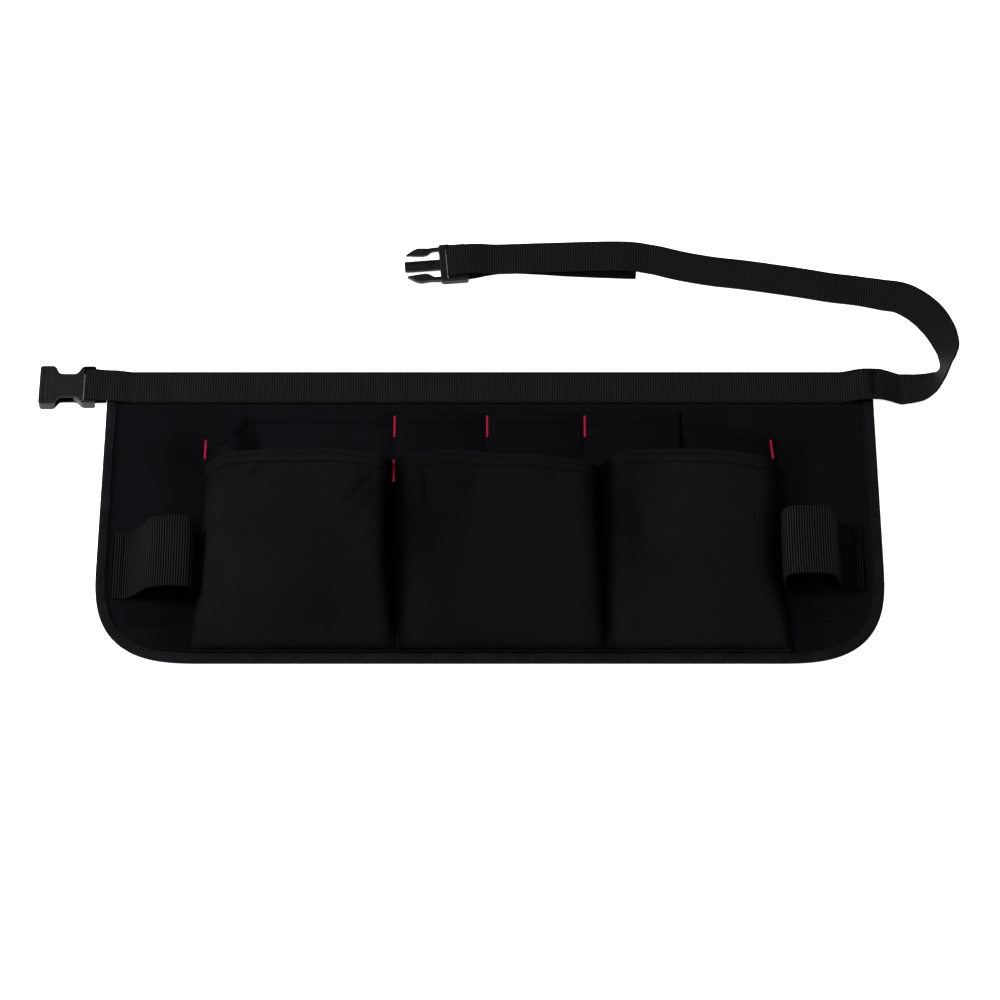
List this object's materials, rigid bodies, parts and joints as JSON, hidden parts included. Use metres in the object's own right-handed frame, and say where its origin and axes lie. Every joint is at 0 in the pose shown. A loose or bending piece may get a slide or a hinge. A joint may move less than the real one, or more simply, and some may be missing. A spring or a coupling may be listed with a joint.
{
  "type": "carpenter nail apron",
  "caption": "Short work apron of dark cloth lying flat, with deep front pockets, a divided rear pocket, webbing hammer loops and a webbing waist belt with a side-release buckle.",
  "frame": {"origin": "middle of the panel's flat back face, which is what it lies on", "axes": "+X along the belt towards the free strap, +Y across the panel towards the belt, +Z out of the panel's front"},
  "size_m": [0.6556, 0.3459, 0.0302],
  "materials": {
    "canvas": "black woven cloth, dull, with a fine grain",
    "binding_tape": "black folded tape, dull",
    "webbing": "black ribbed webbing, slight sheen",
    "red_thread": "crimson satin-stitched thread",
    "buckle_plastic": "black moulded plastic, satin"
  },
  "bodies": {
    "root": {"panel": "canvas", "edge_binding": "binding_tape", "waist_belt": "webbing", "free_strap": "webbing", "upper_pocket": "canvas", "lower_pocket_left": "canvas", "lower_pocket_middle": "canvas", "lower_pocket_right": "canvas", "hammer_loop_left": "webbing", "hammer_loop_right": "webbing", "bartack_upper_left": "red_thread", "bartack_upper_middle": "red_thread", "bartack_upper_right": "red_thread", "bartack_corner_left": "red_thread", "bartack_corner_right": "red_thread", "bartack_valley": "red_thread", "buckle_socket": "buckle_plastic", "buckle_plug": "buckle_plastic"}
  },
  "joints": []
}
